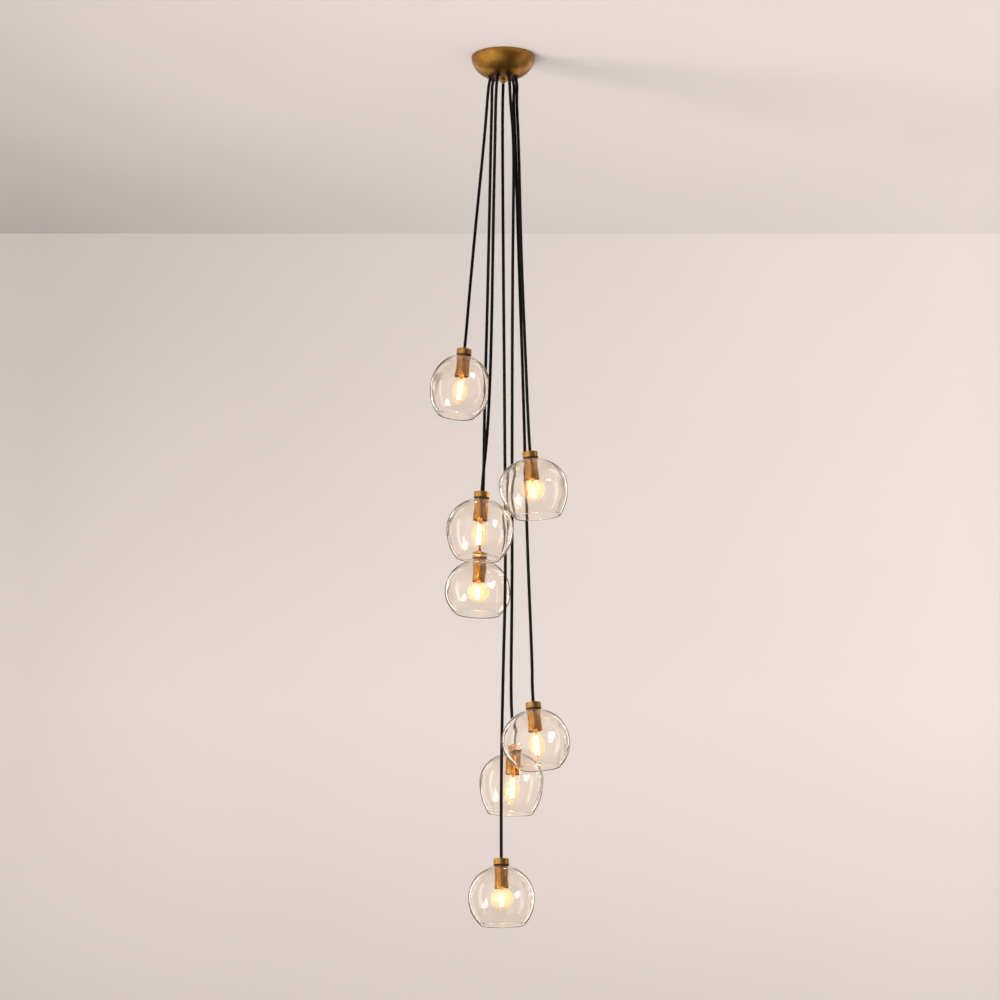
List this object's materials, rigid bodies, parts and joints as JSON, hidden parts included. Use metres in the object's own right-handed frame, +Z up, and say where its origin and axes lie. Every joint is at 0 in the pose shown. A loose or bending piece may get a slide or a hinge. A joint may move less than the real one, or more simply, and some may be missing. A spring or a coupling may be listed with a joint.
{
  "type": "cluster pendant light",
  "caption": "Cluster pendant: clear blown-glass globes with brass caps and filament bulbs, on black fabric cords at stepped heights from a domed brass canopy.",
  "frame": {"origin": "middle of the canopy's open face, in the ceiling plane, which is also the top face of the crossbar", "axes": "+Z up out of the ceiling face, +X to the right and +Y away from someone facing the pictured side; everything hangs below z = 0"},
  "size_m": [0.3157, 0.308, 2.0164],
  "materials": {
    "aged_brass": "brushed, darkened",
    "cap_brass": "brushed",
    "cup_brass": "satin",
    "plated_steel": "zinc plated",
    "white_nylon": "moulded",
    "black_nylon": "moulded",
    "black_insulation": "pressed phenolic and rubber",
    "lead_insulation": "extruded",
    "cord_fabric": "braided",
    "shade_glass": "clear, hand blown",
    "bulb_base_brass": "rolled thread",
    "bulb_glass": "clear, lit filament"
  },
  "bodies": {
    "root": {"canopy": "aged_brass", "crossbar": "plated_steel", "hanging_stud": "plated_steel", "stud_nuts": "plated_steel", "canopy_knob": "aged_brass", "ground_screw": "plated_steel", "terminal_blocks": "white_nylon", "terminal_screws": "plated_steel", "inner_leads": "lead_insulation", "cord_bushings": "black_nylon", "bushing_nuts": "black_nylon"},
    "cord_1": {"cord_1": "cord_fabric"},
    "lamp_1": {"cap_1": "cap_brass", "shade_1": "shade_glass", "socket_cup_1": "cup_brass", "lampholder_1": "black_insulation"},
    "bulb_base_1": {"bulb_base_1": "bulb_base_brass"},
    "bulb_glass_1": {"bulb_glass_1": "bulb_glass"},
    "cord_2": {"cord_2": "cord_fabric"},
    "lamp_2": {"cap_2": "cap_brass", "shade_2": "shade_glass", "socket_cup_2": "cup_brass", "lampholder_2": "black_insulation"},
    "bulb_base_2": {"bulb_base_2": "bulb_base_brass"},
    "bulb_glass_2": {"bulb_glass_2": "bulb_glass"},
    "cord_3": {"cord_3": "cord_fabric"},
    "lamp_3": {"cap_3": "cap_brass", "shade_3": "shade_glass", "socket_cup_3": "cup_brass", "lampholder_3": "black_insulation"},
    "bulb_base_3": {"bulb_base_3": "bulb_base_brass"},
    "bulb_glass_3": {"bulb_glass_3": "bulb_glass"},
    "cord_4": {"cord_4": "cord_fabric"},
    "lamp_4": {"cap_4": "cap_brass", "shade_4": "shade_glass", "socket_cup_4": "cup_brass", "lampholder_4": "black_insulation"},
    "bulb_base_4": {"bulb_base_4": "bulb_base_brass"},
    "bulb_glass_4": {"bulb_glass_4": "bulb_glass"},
    "cord_5": {"cord_5": "cord_fabric"},
    "lamp_5": {"cap_5": "cap_brass", "shade_5": "shade_glass", "socket_cup_5": "cup_brass", "lampholder_5": "black_insulation"},
    "bulb_base_5": {"bulb_base_5": "bulb_base_brass"},
    "bulb_glass_5": {"bulb_glass_5": "bulb_glass"},
    "cord_6": {"cord_6": "cord_fabric"},
    "lamp_6": {"cap_6": "cap_brass", "shade_6": "shade_glass", "socket_cup_6": "cup_brass", "lampholder_6": "black_insulation"},
    "bulb_base_6": {"bulb_base_6": "bulb_base_brass"},
    "bulb_glass_6": {"bulb_glass_6": "bulb_glass"},
    "cord_7": {"cord_7": "cord_fabric"},
    "lamp_7": {"cap_7": "cap_brass", "shade_7": "shade_glass", "socket_cup_7": "cup_brass", "lampholder_7": "black_insulation"},
    "bulb_base_7": {"bulb_base_7": "bulb_base_brass"},
    "bulb_glass_7": {"bulb_glass_7": "bulb_glass"}
  },
  "joints": [
    {"name": "cord_swing_1", "type": "hinge", "parent": "root", "child": "cord_1", "pos_m": [-0.02696, -0.00615, -0.04473], "axis": [0.0499, 0.9988, 0], "range_deg": [0, 6]},
    {"name": "lamp_twist_1", "type": "hinge", "parent": "cord_1", "child": "lamp_1", "pos_m": [-0.0886, -0.012, -0.7049], "axis": [0.1093, 0, 0.994], "range_deg": [-180, 180]},
    {"name": "bulb_travel_1", "type": "slide", "parent": "lamp_1", "child": "bulb_base_1", "axis": [-0.1093, 0, -0.994], "range_m": [0, 0.01128]},
    {"name": "bulb_turn_1", "type": "hinge", "parent": "bulb_base_1", "child": "bulb_glass_1", "pos_m": [-0.09518, -0.012, -0.76474], "axis": [-0.1093, 0, -0.994], "range_deg": [0, 1440]},
    {"name": "cord_swing_2", "type": "hinge", "parent": "root", "child": "cord_2", "pos_m": [0.02696, -0.00615, -0.04473], "axis": [-0.8, -0.6, 0], "range_deg": [0, 5]},
    {"name": "lamp_twist_2", "type": "hinge", "parent": "cord_2", "child": "lamp_2", "pos_m": [0.0604, -0.049, -0.9531], "axis": [-0.0867, -0.0199, 0.996], "range_deg": [-180, 180]},
    {"name": "bulb_travel_2", "type": "slide", "parent": "lamp_2", "child": "bulb_base_2", "axis": [0.0867, 0.0199, -0.996], "range_m": [0, 0.01128]},
    {"name": "bulb_turn_2", "type": "hinge", "parent": "bulb_base_2", "child": "bulb_glass_2", "pos_m": [0.06562, -0.0478, -1.01306], "axis": [0.0867, 0.0199, -0.996], "range_deg": [0, 1440]},
    {"name": "cord_swing_3", "type": "hinge", "parent": "root", "child": "cord_3", "pos_m": [-0.012, -0.02492, -0.04473], "axis": [-0.9889, 0.1483, 0], "range_deg": [0, 5]},
    {"name": "lamp_twist_3", "type": "hinge", "parent": "cord_3", "child": "lamp_3", "pos_m": [-0.0482, -0.076, -1.0514], "axis": [0.0579, -0.01, 0.9983], "range_deg": [-180, 180]},
    {"name": "bulb_travel_3", "type": "slide", "parent": "lamp_3", "child": "bulb_base_3", "axis": [-0.0579, 0.01, -0.9983], "range_m": [0, 0.01128]},
    {"name": "bulb_turn_3", "type": "hinge", "parent": "bulb_base_3", "child": "bulb_glass_3", "pos_m": [-0.05169, -0.0754, -1.1115], "axis": [-0.0579, 0.01, -0.9983], "range_deg": [0, 1440]},
    {"name": "cord_swing_4", "type": "hinge", "parent": "root", "child": "cord_4", "pos_m": [-0.02162, 0.01724, -0.04473], "axis": [0.9439, 0.3304, 0], "range_deg": [0, 5]},
    {"name": "lamp_twist_4", "type": "hinge", "parent": "cord_4", "child": "lamp_4", "pos_m": [-0.053, 0.064, -1.1649], "axis": [0.045, 0.005, 0.999], "range_deg": [-180, 180]},
    {"name": "bulb_travel_4", "type": "slide", "parent": "lamp_4", "child": "bulb_base_4", "axis": [-0.045, -0.005, -0.999], "range_m": [0, 0.01128]},
    {"name": "bulb_turn_4", "type": "hinge", "parent": "bulb_base_4", "child": "bulb_glass_4", "pos_m": [-0.05571, 0.0637, -1.22504], "axis": [-0.045, -0.005, -0.999], "range_deg": [0, 1440]},
    {"name": "cord_swing_5", "type": "hinge", "parent": "root", "child": "cord_5", "pos_m": [0.02162, 0.01724, -0.04473], "axis": [0.1483, -0.9889, 0], "range_deg": [0, 3]},
    {"name": "lamp_twist_5", "type": "hinge", "parent": "cord_5", "child": "lamp_5", "pos_m": [0.0667, -0.032, -1.5221], "axis": [-0.0787, 0.0398, 0.9961], "range_deg": [-180, 180]},
    {"name": "bulb_travel_5", "type": "slide", "parent": "lamp_5", "child": "bulb_base_5", "axis": [0.0787, -0.0398, -0.9961], "range_m": [0, 0.01128]},
    {"name": "bulb_turn_5", "type": "hinge", "parent": "bulb_base_5", "child": "bulb_glass_5", "pos_m": [0.07144, -0.0344, -1.58207], "axis": [0.0787, -0.0398, -0.9961], "range_deg": [0, 1440]},
    {"name": "cord_swing_6", "type": "hinge", "parent": "root", "child": "cord_6", "pos_m": [0.012, -0.02492, -0.04473], "axis": [0.9578, -0.2873, 0], "range_deg": [0, 2]},
    {"name": "lamp_twist_6", "type": "hinge", "parent": "cord_6", "child": "lamp_6", "pos_m": [0.0219, 0.088, -1.6028], "axis": [0.026, 0, 0.9997], "range_deg": [-180, 180]},
    {"name": "bulb_travel_6", "type": "slide", "parent": "lamp_6", "child": "bulb_base_6", "axis": [-0.026, 0, -0.9997], "range_m": [0, 0.01128]},
    {"name": "bulb_turn_6", "type": "hinge", "parent": "bulb_base_6", "child": "bulb_glass_6", "pos_m": [0.02033, 0.088, -1.66298], "axis": [-0.026, 0, -0.9997], "range_deg": [0, 1440]},
    {"name": "cord_swing_7", "type": "hinge", "parent": "root", "child": "cord_7", "pos_m": [0, 0.02765, -0.04473], "axis": [-0.6, 0.8, 0], "range_deg": [0, 0.6]},
    {"name": "lamp_twist_7", "type": "hinge", "parent": "cord_7", "child": "lamp_7", "pos_m": [-0.0046, 0.005, -1.8668], "axis": [-0.012, 0.02, 0.9997], "range_deg": [-180, 180]},
    {"name": "bulb_travel_7", "type": "slide", "parent": "lamp_7", "child": "bulb_base_7", "axis": [0.012, -0.02, -0.9997], "range_m": [0, 0.01128]},
    {"name": "bulb_turn_7", "type": "hinge", "parent": "bulb_base_7", "child": "bulb_glass_7", "pos_m": [-0.00388, 0.0038, -1.92698], "axis": [0.012, -0.02, -0.9997], "range_deg": [0, 1440]}
  ],
  "couplings": [
    {"joint": "bulb_turn_1", "follows": "bulb_travel_1", "rad_per_m": 2228.1},
    {"joint": "bulb_turn_2", "follows": "bulb_travel_2", "rad_per_m": 2228.1},
    {"joint": "bulb_turn_3", "follows": "bulb_travel_3", "rad_per_m": 2228.1},
    {"joint": "bulb_turn_4", "follows": "bulb_travel_4", "rad_per_m": 2228.1},
    {"joint": "bulb_turn_5", "follows": "bulb_travel_5", "rad_per_m": 2228.1},
    {"joint": "bulb_turn_6", "follows": "bulb_travel_6", "rad_per_m": 2228.1},
    {"joint": "bulb_turn_7", "follows": "bulb_travel_7", "rad_per_m": 2228.1}
  ]
}
